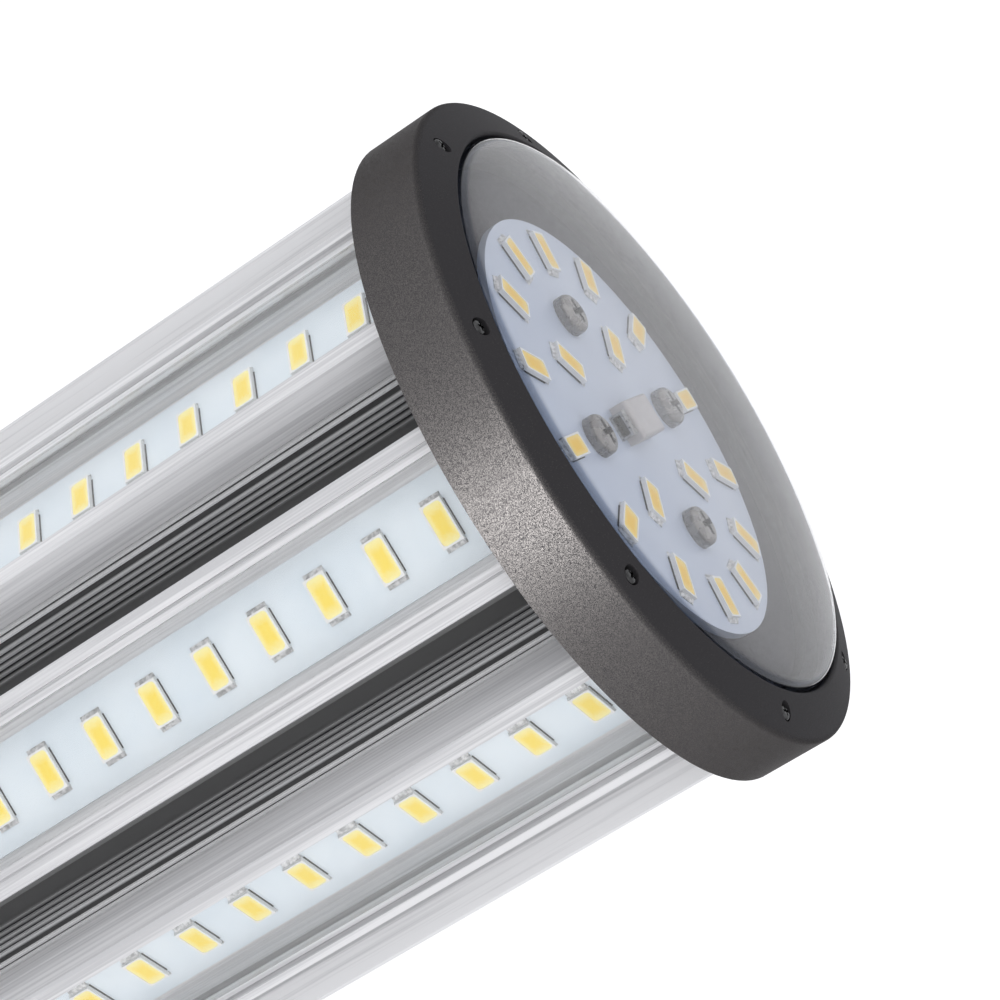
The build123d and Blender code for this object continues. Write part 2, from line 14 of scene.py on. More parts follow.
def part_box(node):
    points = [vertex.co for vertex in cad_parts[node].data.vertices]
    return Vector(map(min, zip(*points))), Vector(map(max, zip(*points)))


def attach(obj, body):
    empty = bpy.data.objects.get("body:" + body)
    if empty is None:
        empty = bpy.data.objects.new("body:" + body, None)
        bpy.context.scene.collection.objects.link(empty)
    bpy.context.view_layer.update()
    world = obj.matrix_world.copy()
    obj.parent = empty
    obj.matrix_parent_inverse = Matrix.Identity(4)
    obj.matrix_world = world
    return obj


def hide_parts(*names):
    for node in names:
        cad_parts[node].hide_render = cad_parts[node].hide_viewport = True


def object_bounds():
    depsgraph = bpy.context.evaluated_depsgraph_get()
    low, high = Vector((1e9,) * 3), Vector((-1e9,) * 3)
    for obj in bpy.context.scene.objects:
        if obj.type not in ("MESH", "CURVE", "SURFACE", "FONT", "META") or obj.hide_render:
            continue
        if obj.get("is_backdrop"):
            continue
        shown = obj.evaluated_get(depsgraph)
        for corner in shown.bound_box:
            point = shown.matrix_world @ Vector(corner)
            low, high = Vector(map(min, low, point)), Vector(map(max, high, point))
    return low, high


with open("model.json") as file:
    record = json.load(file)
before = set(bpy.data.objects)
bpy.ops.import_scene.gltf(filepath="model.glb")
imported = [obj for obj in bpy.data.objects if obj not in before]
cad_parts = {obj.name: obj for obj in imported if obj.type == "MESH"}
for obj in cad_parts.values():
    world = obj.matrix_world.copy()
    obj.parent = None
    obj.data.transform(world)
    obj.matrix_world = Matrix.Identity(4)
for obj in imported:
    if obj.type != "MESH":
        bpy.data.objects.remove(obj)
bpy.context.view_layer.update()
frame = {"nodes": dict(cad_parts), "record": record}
nodes = frame["nodes"]
mm = 0.001

# %% [markdown]
# ## The camera
# The picture is taken from just in front of the head, looking down the lamp, and the camera is
# rolled so that the lamp runs from the lower left to the upper right. A place, a point to look at
# and a roll say that in a way that is easy to change later. `to_track_quat` turns the lens (-Z)
# to the target with the top of the picture (Y) upwards, and the roll turns it about the lens.

# %% Place the camera
camera_place = Vector((0.39051, 0.01888, 0.37480))
camera_target = Vector((0.00003, -0.00061, 0.23579))
camera_roll = math.radians(57.868)

camera_data = bpy.data.cameras.new("camera")
camera_data.lens = 116.914
camera_data.sensor_width = 36.0
camera_data.clip_start = 0.01
camera_data.clip_end = 50.0
camera = bpy.data.objects.new("camera", camera_data)
bpy.context.scene.collection.objects.link(camera)
aim = (camera_target - camera_place).to_track_quat("-Z", "Y")
camera.rotation_mode = "QUATERNION"
camera.rotation_quaternion = aim @ Quaternion((0, 0, 1), camera_roll)
camera.location = camera_place
bpy.context.scene.camera = camera
print("camera to lamp's axis:", round((camera_target - camera_place).length, 3), "m")

# %% [markdown]
# ## Helpers for materials
# A node tree is a list of nodes and the wires between them. One helper adds a node, sets its
# options, and fills its sockets: a plain value is written on the socket, and another node's
# output is wired to it. With it, a shader reads like a recipe.

# %% Node helpers
def add(tree, kind, sockets=None, **options):
    """Adds a shader node, sets its options, and fills or wires its sockets."""
    node = tree.nodes.new("ShaderNode" + kind)
    for option, value in options.items():
        setattr(node, option, value)
    for name, value in (sockets or {}).items():
        if isinstance(value, bpy.types.NodeSocket):
            tree.links.new(value, node.inputs[name])
        else:
            node.inputs[name].default_value = value
    return node


def grey(value):
    """A neutral colour."""
    return (value, value, value, 1.0)


def sum_of(tree, operation, first, second=0.0):
    """One step of arithmetic on numbers."""
    return add(tree, "Math", {0: first, 1: second}, operation=operation).outputs[0]


def ramp(tree, value, start, end, low, high):
    """Low up to the start, high from the end on, and an even slope between them."""
    sockets = {"Value": value, "From Min": start, "From Max": end, "To Min": low, "To Max": high}
    return add(tree, "MapRange", sockets).outputs["Result"]


def blend(tree, factor, first, second):
    """A colour that runs from the first to the second as the factor runs from 0 to 1."""
    return add(tree, "Mix", {0: factor, 6: first, 7: second}, data_type="RGBA").outputs[2]


def radius_of(tree, place):
    """The distance of a place from the lamp's axis."""
    axes = add(tree, "SeparateXYZ", {0: place}).outputs
    squares = [sum_of(tree, "MULTIPLY", axes[axis], axes[axis]) for axis in ("X", "Y")]
    return sum_of(tree, "SQRT", sum_of(tree, "ADD", squares[0], squares[1]))


def effect(name, inputs, outputs):
    """An empty node group with named inputs and outputs."""
    tree = bpy.data.node_groups.new(name, "ShaderNodeTree")
    kinds = {"colour": "NodeSocketColor", "number": "NodeSocketFloat", "vector": "NodeSocketVector"}
    for label, kind in inputs.items():
        tree.interface.new_socket(label, in_out="INPUT", socket_type=kinds[kind])
    for label, kind in outputs.items():
        tree.interface.new_socket(label, in_out="OUTPUT", socket_type=kinds[kind])
    start = tree.nodes.new("NodeGroupInput").outputs
    end = tree.nodes.new("NodeGroupOutput").inputs
    return tree, start, end


print("node helpers ready")

# %% [markdown]
# ## Shared effects
# **Grain** is the faint mottle of moulded plastic, solder mask and rubber. A broad noise moves
# the colour and the gloss a little, and a finer one is the height for a bump.

# %% Grain
surface_outputs = {"Colour": "colour", "Roughness": "number", "Height": "number"}
grain_inputs = {
    "Vector": "vector", "Scale": "number", "Dark": "colour", "Light": "colour",
    "Smooth": "number", "Rough": "number",
}
grain, start, end = effect("grain", grain_inputs, surface_outputs)
broad = add(grain, "TexNoise", {"Vector": start["Vector"], "Scale": start["Scale"], "Detail": 4.0})
patch = ramp(grain, broad.outputs["Fac"], 0.35, 0.65, 0.0, 1.0)
fine_scale = sum_of(grain, "MULTIPLY", start["Scale"], 7.0)
fine = add(grain, "TexNoise", {"Vector": start["Vector"], "Scale": fine_scale, "Detail": 3.0})
grain.links.new(blend(grain, patch, start["Dark"], start["Light"]), end["Colour"])
roughness = ramp(grain, broad.outputs["Fac"], 0.35, 0.65, start["Smooth"], start["Rough"])
grain.links.new(roughness, end["Roughness"])
grain.links.new(fine.outputs["Fac"], end["Height"])
print("grain:", len(grain.nodes), "nodes")

# %% [markdown]
# ** Drawn** is the surface of an extrusion. The die leaves fine lines that run the whole length
# of the bar, so the noise is squeezed along Z until its spots become lines. The same group paints
# shade into the metal's colour: darker towards the lamp's axis and in the channels between the
# strips, and darkest in the grooves between the ribs of their flanks. The section has eight equal
# parts, so the absolute values of X and Y fold it: the largest of X, Y and their diagonal is the
# depth of a point in its own part, and what is left is its offset sideways. The crests of the
# outermost ribs get a painted highlight, so they are lighter than the rest.

# %% Drawn metal
drawn_inputs = {
    "Vector": "vector", "Deep shade": "colour", "Dark": "colour", "Light": "colour",
    "Smooth": "number", "Rough": "number", "Floor": "number", "Top": "number",
    "Root": "number", "Outer": "number", "Shoulder": "number", "Groove": "number",
    "Crest": "number", "Groove shade": "number",
}
drawn, start, end = effect("drawn", drawn_inputs, surface_outputs)
line_stretch = (1.0, 1.0, 0.012)
# Colours of the painted shade in the grooves and of the painted highlight on the outer crests.
groove_shade_colour, crest_highlight_colour = grey(0.015), grey(0.97)
crest_step = 0.05 * mm
lines_place = add(drawn, "Mapping", {"Vector": start["Vector"], "Scale": line_stretch})
lines = add(drawn, "TexNoise", {"Vector": lines_place.outputs[0], "Scale": 2600.0, "Detail": 5.0})
bands = add(drawn, "TexNoise", {"Vector": lines_place.outputs[0], "Scale": 320.0, "Detail": 2.0})
cloud = add(drawn, "TexNoise", {"Vector": start["Vector"], "Scale": 90.0, "Detail": 4.0})
both = sum_of(drawn, "ADD", lines.outputs["Fac"], bands.outputs["Fac"])
tone = ramp(drawn, both, 0.82, 1.14, 0.0, 1.0)
metal = blend(drawn, tone, start["Dark"], start["Light"])
radius = radius_of(drawn, start["Vector"])
height = ramp(drawn, radius, start["Floor"], start["Top"], 0.0, 1.0)
axes = add(drawn, "SeparateXYZ", {0: start["Vector"]}).outputs
folded = [sum_of(drawn, "ABSOLUTE", axes[axis]) for axis in ("X", "Y")]
diagonal = sum_of(drawn, "MULTIPLY", sum_of(drawn, "ADD", folded[0], folded[1]), math.sqrt(0.5))
depth = sum_of(drawn, "MAXIMUM", sum_of(drawn, "MAXIMUM", folded[0], folded[1]), diagonal)
squares = [sum_of(drawn, "MULTIPLY", value, value) for value in (radius, depth)]
rest = sum_of(drawn, "MAXIMUM", sum_of(drawn, "SUBTRACT", squares[0], squares[1]), 0.0)
offset = sum_of(drawn, "SQRT", rest)
# Painted shade: darker towards the lamp's axis, and near black in the grooves between the channels'
# ribs.
in_channel = sum_of(drawn, "LESS_THAN", depth, start["Shoulder"])
ribbed = sum_of(drawn, "MULTIPLY", in_channel, sum_of(drawn, "GREATER_THAN", depth, start["Root"]))
groove = ramp(drawn, offset, start["Groove"], start["Crest"], start["Groove shade"], 0.0)
groove_shade_mask = sum_of(drawn, "MULTIPLY", groove, ribbed)
shaded = blend(drawn, groove_shade_mask, blend(drawn, height, start["Deep shade"], metal), groove_shade_colour)
# Painted highlight: the crests of the outermost ribs in the channels are drawn near white.
rib_edge = sum_of(drawn, "ADD", start["Groove"], crest_step)
on_rib = sum_of(drawn, "GREATER_THAN", offset, rib_edge)
outer_crest_mask = sum_of(drawn, "MULTIPLY", on_rib, sum_of(drawn, "GREATER_THAN", depth, start["Outer"]))
crest_highlight_mask = sum_of(drawn, "MULTIPLY", outer_crest_mask, in_channel)
drawn.links.new(blend(drawn, crest_highlight_mask, shaded, crest_highlight_colour), end["Colour"])
gloss = sum_of(drawn, "MULTIPLY_ADD", cloud.outputs["Fac"], 0.5)
mixed = sum_of(drawn, "ADD", gloss, sum_of(drawn, "MULTIPLY", lines.outputs["Fac"], 0.5))
drawn.links.new(ramp(drawn, mixed, 0.75, 1.25, start["Smooth"], start["Rough"]), end["Roughness"])
drawn.links.new(lines.outputs["Fac"], end["Height"])
print("drawn:", len(drawn.nodes), "nodes")

# %% [markdown]
# **Flakes** is a metallic powder coat. The powder melts to a dark, slightly lumpy skin with
# aluminium flakes in it. Voronoi cells stand for the flakes: each cell gets its own random
# colour, one channel of it decides whether a flake lies there, and another how bright it is.
# The share of flakes grows from an inner radius to an outer one, so the flat end face has few and
# reads darker than the rim: a painted shade on the face.

# %% Flakes
flake_inputs = {
    "Vector": "vector", "Scale": "number", "Skin": "colour", "Flake": "colour", "Share": "number",
    "Inner": "number", "Outer": "number",
}
flake_outputs = dict(surface_outputs, Metallic="number")
flakes, start, end = effect("flakes", flake_inputs, flake_outputs)
cells = add(flakes, "TexVoronoi", {"Vector": start["Vector"], "Scale": start["Scale"]})
chance = add(flakes, "SeparateColor", {0: cells.outputs["Color"]}).outputs
# Painted shade: flakes thin out from the rim towards the end face, which makes the face darker.
face_shade_ramp = ramp(flakes, radius_of(flakes, start["Vector"]), start["Inner"], start["Outer"], 0.03, 1.0)
bare = sum_of(flakes, "SUBTRACT", 1.0, sum_of(flakes, "MULTIPLY", start["Share"], face_shade_ramp))
present = sum_of(flakes, "GREATER_THAN", chance["Red"], bare)
bright = ramp(flakes, chance["Green"], 0.0, 1.0, 0.35, 1.0)
shine = sum_of(flakes, "MULTIPLY", present, bright)
flakes.links.new(blend(flakes, shine, start["Skin"], start["Flake"]), end["Colour"])
flakes.links.new(ramp(flakes, shine, 0.0, 1.0, 0.55, 0.42), end["Roughness"])
flakes.links.new(present, end["Metallic"])
peel = add(flakes, "TexNoise", {"Vector": start["Vector"], "Scale": 2200.0, "Detail": 3.0})
lumps = sum_of(flakes, "ADD", peel.outputs["Fac"], sum_of(flakes, "MULTIPLY", chance["Blue"], 0.35))
flakes.links.new(lumps, end["Height"])
print("flakes:", len(flakes.nodes), "nodes")

# %% [markdown]
# ## From an effect to a material
# Every finish is the same short chain: object coordinates, one effect group, a Principled shader.
# Numbers that are the same all over the surface are written on the shader's own sockets, and
# what changes over the surface is wired from the group.

# %% Material helper
def finish(name, look, settings, bump=0.0, **constants):
    """A material in which one effect group feeds a Principled shader."""
    material = bpy.data.materials.new(name)
    material.use_nodes = True
    tree = material.node_tree
    shader = tree.nodes["Principled BSDF"]
    place = add(tree, "TexCoord").outputs["Object"]
    group = add(tree, "Group", {}, node_tree=look)
    for label, value in settings.items():
        group.inputs[label].default_value = value
    tree.links.new(place, group.inputs["Vector"])
    targets = {"Colour": "Base Color", "Roughness": "Roughness", "Metallic": "Metallic"}
    for label, socket in targets.items():
        if label in group.outputs:
            tree.links.new(group.outputs[label], shader.inputs[socket])
    if bump:
        height = {"Height": group.outputs["Height"], "Distance": bump, "Strength": 1.0}
        tree.links.new(add(tree, "Bump", height).outputs[0], shader.inputs["Normal"])
    for label, value in constants.items():
        shader.inputs[label.replace("_", " ")].default_value = value
    return material


def plain(name, dark, light, smooth, rough, scale=400.0, bump=0.0, **constants):
    """A finish with the grain effect."""
    settings = {"Scale": scale, "Dark": dark, "Light": light, "Smooth": smooth, "Rough": rough}
    return finish(name, grain, settings, bump, **constants)


finishes = {}
print("material helper ready")

# %% [markdown]
# ## Metals
# The heat sink is extruded aluminium with a matt silver finish, so part of its light is scattered
# and it isn't set fully metallic. Its drawn lines run along the lamp and smear every reflection
# sideways, which is what the shader's anisotropy does about the Z axis. The rings and the end
# plates wear the dark coat with flakes in it.

# %% Metal finishes
# The drawn group paints shade into the channels and grooves, and a highlight on the outer crests.
finishes["sink_aluminium"] = finish(
    "sink_aluminium", drawn,
    {"Deep shade": grey(0.32), "Dark": (0.67, 0.67, 0.68, 1.0), "Light": (0.93, 0.93, 0.935, 1.0),
     "Smooth": 0.26, "Rough": 0.38, "Floor": 29.0 * mm, "Top": 35.5 * mm, "Root": 28.0 * mm,
     "Outer": 33.8 * mm, "Shoulder": 36.08 * mm, "Groove": 9.55 * mm, "Crest": 9.8 * mm,
     "Groove shade": 0.88},
    bump=0.00001, Metallic=0.12, Anisotropic=0.5,
)
# Its flakes thin out from the rim towards the end face, a painted shade on the face.
finishes["ring_coating"] = finish(
    "ring_coating", flakes,
    {"Scale": 14000.0, "Skin": (0.036, 0.034, 0.036, 1.0), "Flake": (0.128, 0.121, 0.117, 1.0),
     "Share": 0.7, "Inner": 45.8 * mm, "Outer": 46.4 * mm},
    bump=0.00002, Specular_IOR_Level=0.2, Specular_Tint=grey(0.3),
)
finishes["plate_coating"] = finish(
    "plate_coating", flakes,
    {"Scale": 3600.0, "Skin": (0.020, 0.018, 0.024, 1.0), "Flake": (0.05, 0.047, 0.055, 1.0),
     "Share": 0.2, "Inner": 0.0, "Outer": 1.0 * mm},
    bump=0.00002, Specular_IOR_Level=0.2,
)
finishes["screw_steel"] = plain(
    "screw_steel", (0.17, 0.16, 0.155, 1.0), (0.30, 0.285, 0.27, 1.0), 0.2, 0.36,
    scale=700.0, bump=0.00001, Metallic=1.0,
)
black_zinc = plain(
    "black_zinc", grey(0.05), grey(0.14), 0.12, 0.24, scale=1500.0, bump=0.00001, Metallic=1.0,
)
solder = plain(
    "solder", grey(0.34), grey(0.80), 0.3, 0.5, scale=1900.0, bump=0.00002, Metallic=0.5,
)
finishes["terminal_metal"] = plain(
    "terminal_metal", grey(0.24), grey(0.52), 0.25, 0.5, scale=1800.0, bump=0.00003, Metallic=1.0,
)
finishes["cap_metal"] = plain(
    "cap_metal", (0.50, 0.485, 0.45, 1.0), (0.60, 0.585, 0.55, 1.0), 0.18, 0.30,
    scale=180.0, bump=0.00001, Metallic=1.0,
)
finishes["contact_metal"] = plain(
    "contact_metal", (0.52, 0.45, 0.32, 1.0), (0.72, 0.66, 0.52, 1.0), 0.25, 0.45,
    scale=700.0, bump=0.00002, Metallic=1.0,
)
print("finishes so far:", len(finishes))

# %% [markdown]
# ## Plastics, rubber and boards
# Solder mask is a thin gloss paint over copper and aluminium, so it gets a little clear coat.
# The strip boards are a cool white, and the end board is a shade greyer and bluer.

# %% Plastic, rubber and board finishes
finishes["strip_board_mask"] = plain(
    "strip_board_mask", (0.70, 0.78, 0.84, 1.0), (0.76, 0.83, 0.88, 1.0), 0.32, 0.42,
    scale=120.0, Coat_Weight=0.25,
)
finishes["end_board_mask"] = plain(
    "end_board_mask", (0.47, 0.53, 0.65, 1.0), (0.52, 0.58, 0.69, 1.0), 0.34, 0.44,
    scale=90.0, Coat_Weight=0.2,
)
finishes["terminal_plastic"] = plain(
    "terminal_plastic", (0.47, 0.445, 0.445, 1.0), (0.55, 0.525, 0.52, 1.0), 0.4, 0.55,
    scale=500.0, bump=0.00001,
)
finishes["led_package"] = plain(
    "led_package", (0.78, 0.78, 0.77, 1.0), (0.85, 0.85, 0.84, 1.0), 0.3, 0.45, scale=900.0,
)
finishes["neck_plastic"] = plain(
    "neck_plastic", grey(0.56), grey(0.62), 0.42, 0.55, scale=600.0, bump=0.00003,
)
finishes["gasket_rubber"] = plain(
    "gasket_rubber", grey(0.012), grey(0.022), 0.6, 0.8, scale=500.0, bump=0.00002,
)
finishes["terminal_black"] = plain(
    "terminal_black", grey(0.012), grey(0.02), 0.45, 0.6, scale=700.0, bump=0.00002,
)
finishes["transformer_core"] = plain(
    "transformer_core", (0.5, 0.36, 0.06, 1.0), (0.6, 0.44, 0.09, 1.0), 0.3, 0.45, scale=300.0,
)
finishes["capacitor_sleeve"] = plain(
    "capacitor_sleeve", (0.010, 0.014, 0.04, 1.0), (0.016, 0.02, 0.06, 1.0), 0.2, 0.32, scale=200.0,
)
finishes["driver_laminate"] = plain(
    "driver_laminate", (0.012, 0.10, 0.035, 1.0), (0.02, 0.14, 0.05, 1.0), 0.3, 0.42, scale=260.0,
)
finishes["lead_insulation"] = plain(
    "lead_insulation", (0.42, 0.02, 0.015, 1.0), (0.5, 0.03, 0.02, 1.0), 0.35, 0.5, scale=500.0,
)
finishes["insulator_black"] = plain(
    "insulator_black", grey(0.008), grey(0.016), 0.08, 0.2, scale=150.0, Coat_Weight=0.5,
)
print("finishes so far:", len(finishes))

# %% [markdown]
# ## Clear plastic
# The dome and the covers are thin clear mouldings, and a thin sheet hardly shifts what lies behind
# it. The refractive index is therefore set close to air's, and a full coat with the index of
# polycarbonate gives the sheet its reflections, which grow strong where it is seen edge on.
# Cycles lets no lamp shine straight through glass, so a board under a clear cover would stay
# dark. A mix with Transparent that acts only on shadow rays lets the light in. The Principled
# shader keeps a plain Transmission Weight.

# %% Clear finishes
def clear_plastic(name, dark, light, smooth, rough, coat_index):
    """Clear moulded plastic that lets lamps through."""
    material = plain(
        name, dark, light, smooth, rough, scale=60.0, Transmission_Weight=1.0, IOR=1.01,
        Coat_Weight=1.0, Coat_IOR=coat_index, Coat_Roughness=0.04)
    tree = material.node_tree
    shader = tree.nodes["Principled BSDF"].outputs[0]
    shadow = add(tree, "LightPath").outputs["Is Shadow Ray"]
    through = add(tree, "BsdfTransparent").outputs[0]
    mixed = add(tree, "MixShader", {0: shadow, 1: shader, 2: through})
    tree.links.new(mixed.outputs[0], tree.nodes["Material Output"].inputs["Surface"])
    return material


def shade_rim(material, inner, outer, low, high, tint):
    """Paints shade into a clear moulding between two radii and two heights: the dark band of a wall
    seen end on.
    """
    tree = material.node_tree
    shader = tree.nodes["Principled BSDF"]
    body = shader.inputs["Base Color"].links[0].from_socket
    place = add(tree, "TexCoord").outputs["Object"]
    height = add(tree, "SeparateXYZ", {0: place}).outputs["Z"]
    out = ramp(tree, radius_of(tree, place), inner, outer, 0.0, 1.0)
    down = ramp(tree, height, low, high, 1.0, 0.0)
    factor = sum_of(tree, "MULTIPLY", out, down)
    tree.links.new(blend(tree, factor, body, tint), shader.inputs["Base Color"])


finishes["dome_clear"] = clear_plastic(
    "dome_clear", (0.93, 0.94, 0.97, 1.0), (0.96, 0.965, 0.985, 1.0), 0.0, 0.03, 1.5)
dome_low, dome_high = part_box("dome_cover")
# Painted shade: a dark band on the dome's wall and flange near the ring.
shade_rim(
    finishes["dome_clear"], 39.0 * mm, 39.6 * mm, dome_high.z - 4.2 * mm,
    dome_high.z - 3.7 * mm, (0.30, 0.34, 0.42, 1.0))
finishes["cover_clear"] = clear_plastic(
    "cover_clear", (0.975, 0.98, 0.985, 1.0), (0.99, 0.99, 0.99, 1.0), 0.0, 0.02, 1.5)
print("clear finishes added, finishes now:", len(finishes))

# %% [markdown]
# ## The LED's phosphor
# The yellow window of an LED is silicone with phosphor in it. It is deepest in the middle, where
# the layer is thick over the chip, and paler at its rim. The window carries its own UV map,
# 0 to 1 each way, so the shader can tell how far a point is from the rim.

# %% Phosphor
def window_material(name, middle, rim):
    """The yellow face of an LED."""
    material = bpy.data.materials.new(name)
    material.use_nodes = True
    tree = material.node_tree
    shader = tree.nodes["Principled BSDF"]
    flat = add(tree, "UVMap", uv_map="window").outputs[0]
    axes = add(tree, "SeparateXYZ", {0: flat}).outputs
    edges = []
    for axis in ("X", "Y"):
        off_middle = sum_of(tree, "ABSOLUTE", sum_of(tree, "SUBTRACT", axes[axis], 0.5))
        edges.append(ramp(tree, off_middle, 0.18, 0.5, 0.0, 1.0))
    edge = sum_of(tree, "MAXIMUM", edges[0], edges[1])
    place = add(tree, "TexCoord").outputs["Object"]
    specks = add(tree, "TexNoise", {"Vector": place, "Scale": 3500.0, "Detail": 2.0}).outputs["Fac"]
    factor = sum_of(tree, "ADD", edge, ramp(tree, specks, 0.3, 0.7, -0.12, 0.12))
    tree.links.new(blend(tree, factor, middle, rim), shader.inputs["Base Color"])
    tree.links.new(ramp(tree, specks, 0.3, 0.7, 0.35, 0.5), shader.inputs["Roughness"])
    height = {"Height": specks, "Distance": 0.00001}
    tree.links.new(add(tree, "Bump", height).outputs[0], shader.inputs["Normal"])
    return material


strip_phosphor = window_material("strip_phosphor", (1.0, 0.75, 0.055, 1.0), (1.0, 0.93, 0.46, 1.0))
end_phosphor = window_material("end_phosphor", (0.96, 0.60, 0.05, 1.0), (0.95, 0.76, 0.28, 1.0))
print("phosphor materials:", strip_phosphor.name, end_phosphor.name)

# %% [markdown]
# ## Dress the solids
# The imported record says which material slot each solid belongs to. Every solid gets its finish
# in its own object's slots, and neither its mesh nor its place is touched.

# %% Give every solid its finish
for part in frame["record"]["subparts"]:
    for material_slot in nodes[part["node"]].material_slots:
        material_slot.material = finishes[part["material_slot"]]

# %% [markdown]
# ## Helpers for new pieces
# A new piece is built in a bmesh, turned into a mesh, and put at the origin with its place in its
# vertices, as the solids are. It rides on the lamp's one body, and the solids that it stands for
# are hidden.

# %% Piece helpers
def mesh_of(built, name):
    """A mesh from a bmesh."""
    mesh = bpy.data.meshes.new(name)
    built.to_mesh(mesh)
    built.free()
    return mesh


def make_piece(name, built, materials, slot, *stands_for):
    """Turns a bmesh into a finished piece of the lamp."""
    mesh = mesh_of(built, name)
    for material in materials:
        mesh.materials.append(material)
    piece = bpy.data.objects.new(name, mesh)
    bpy.context.scene.collection.objects.link(piece)
    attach(piece, "root")
    if stands_for:
        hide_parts(*stands_for)
    return piece


def add_block(built, size, centre, finish_index=0):
    """Adds a block to a bmesh and returns its vertices."""
    place = Matrix.Translation(centre) @ Matrix.Diagonal((*size, 1.0))
    verts = bmesh.ops.create_cube(built, size=1.0, matrix=place)["verts"]
    for face in {face for vert in verts for face in vert.link_faces}:
        face.material_index = finish_index
    return verts


def copies_at(mesh, places):
    """A bmesh with one copy of the mesh at each place."""
    built = bmesh.new()
    for place in places:
        known = len(built.verts)
        built.from_mesh(mesh)
        built.verts.ensure_lookup_table()
        bmesh.ops.transform(built, matrix=place, verts=built.verts[known:])
    return built


print("piece helpers ready")

# %% [markdown]
# ## One LED
# Each LED is a small white moulded package with a shallow window of phosphor in its top, on a
# tinned lead frame that comes out under both short ends, where it is soldered to the board. The
# package sits a hair above the board. A dark block under it and a thin dark sheet that spreads past
# its long sides are painted shade: the thin dark line seen along its long side.
# The solid model has it as a plain block, and there are 162 of them, so the detailed one is kept
# to a few dozen faces: a block whose top is inset for the rim and sunk for the window, a dark block
# and a dark sheet of painted shade below it, and a sloping fillet of solder at either end.

# %% Model one LED
led_long, led_short, led_tall = 5.7 * mm, 3.0 * mm, 0.8 * mm
led_lift, led_rim, led_sink = 0.17 * mm, 0.23 * mm, 0.05 * mm
window_corner = 0.5 * mm
# Sizes of the dark block and the thin dark sheet that paint the shade under and beside the package.
shade_block_long, shade_block_short = led_long * 0.86, led_short * 0.98
shade_sheet_creep, shade_sheet_thick = 0.26 * mm, 0.03 * mm
fillet_size = (0.72 * mm, shade_block_short, 0.46 * mm)
fillet_x = led_long / 2 + 0.24 * mm
fillet_fall, fillet_taper = 0.34 * mm, 0.9
phosphor_index, solder_index, shade_index = 1, 2, 3


def model_led():
    """One LED, lying on XY, with its long side along X."""
    built = bmesh.new()
    body_size = (led_long, led_short, led_tall - led_lift)
    body = add_block(built, body_size, (0, 0, led_lift + body_size[2] / 2))
    body_faces = {face for vert in body for face in vert.link_faces}
    top = max(body_faces, key=lambda face: face.calc_center_median().z)
    bmesh.ops.inset_region(built, faces=[top], thickness=led_rim, use_even_offset=True)
    bmesh.ops.bevel(
        built, geom=list(top.verts), affect="VERTICES", offset=window_corner, segments=2,
        profile=0.5, material=-1)
    window = max(built.faces, key=lambda face: (len(face.verts), face.calc_center_median().z))
    sunk = bmesh.ops.extrude_face_region(built, geom=[window])["geom"]
    sunk_verts = [item for item in sunk if isinstance(item, bmesh.types.BMVert)]
    sunk_faces = [item for item in sunk if isinstance(item, bmesh.types.BMFace)]
    bmesh.ops.translate(built, vec=(0, 0, -led_sink), verts=sunk_verts)
    bmesh.ops.delete(built, geom=[window], context="FACES_ONLY")
    uv = built.loops.layers.uv.new("window")
    for face in sunk_faces:
        face.material_index = phosphor_index
        for loop in face.loops:
            loop[uv].uv = (loop.vert.co.x / led_long + 0.5, loop.vert.co.y / led_short + 0.5)
    # Painted shade: the dark block under the package and the thin dark sheet beside it.
    add_block(built, (shade_block_long, shade_block_short, led_lift), (0, 0, led_lift / 2), shade_index)
    shade_sheet_size = (shade_block_long, led_short + shade_sheet_creep, shade_sheet_thick)
    add_block(built, shade_sheet_size, (0, 0, shade_sheet_thick / 2), shade_index)
    for side in (-1, 1):
        centre = (side * fillet_x, 0, fillet_size[2] / 2)
        fillet = add_block(built, fillet_size, centre, solder_index)
        upper = [vert for vert in fillet if vert.co.z > centre[2]]
        outer = [vert for vert in upper if abs(vert.co.x) > fillet_x]
        bmesh.ops.translate(built, vec=(0, 0, -fillet_fall), verts=outer)
        bmesh.ops.scale(built, vec=(1, fillet_taper, 1), verts=upper)
    bmesh.ops.recalc_face_normals(built, faces=built.faces)
    return mesh_of(built, "led")


led = model_led()
print("one LED:", len(led.polygons), "faces")

# %% [markdown]
# ## The LEDs of the eight strips
# A strip's LEDs lie across it, and their tops face outwards. The box of the strip's solid gives
# the first and the last place, so the copies follow the CAD model if it changes.

# %% Lay out the strips' LEDs
strip_count = 8
led_count = 18
strip_low, strip_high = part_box("strip_leds_1")
seat_radius = strip_low.x
first_z = strip_low.z + led_short / 2
pitch = (strip_high.z - led_short / 2 - first_z) / (led_count - 1)
package_materials = [finishes["led_package"], strip_phosphor, solder, finishes["terminal_black"]]
across = Matrix(((0, 0, 1, 0), (1, 0, 0, 0), (0, 1, 0, 0), (0, 0, 0, 1)))
for strip in range(strip_count):
    turn = Matrix.Rotation(math.tau * strip / strip_count, 4, "Z")
    spots = [Matrix.Translation((seat_radius, 0, first_z + pitch * i)) for i in range(led_count)]
    places = [turn @ spot @ across for spot in spots]
    name = f"strip_leds_{strip + 1}"
    make_piece(name + "_packages", copies_at(led, places), package_materials, "led_package", name)
print("strip LEDs:", strip_count * led_count, "pitch", round(pitch / mm, 2), "mm")

# %% [markdown]
# ## The LEDs under the dome
# Fourteen LEDs point at the axis in an outer ring, and four more lie inside it. They are of the
# same kind, with a warmer phosphor.

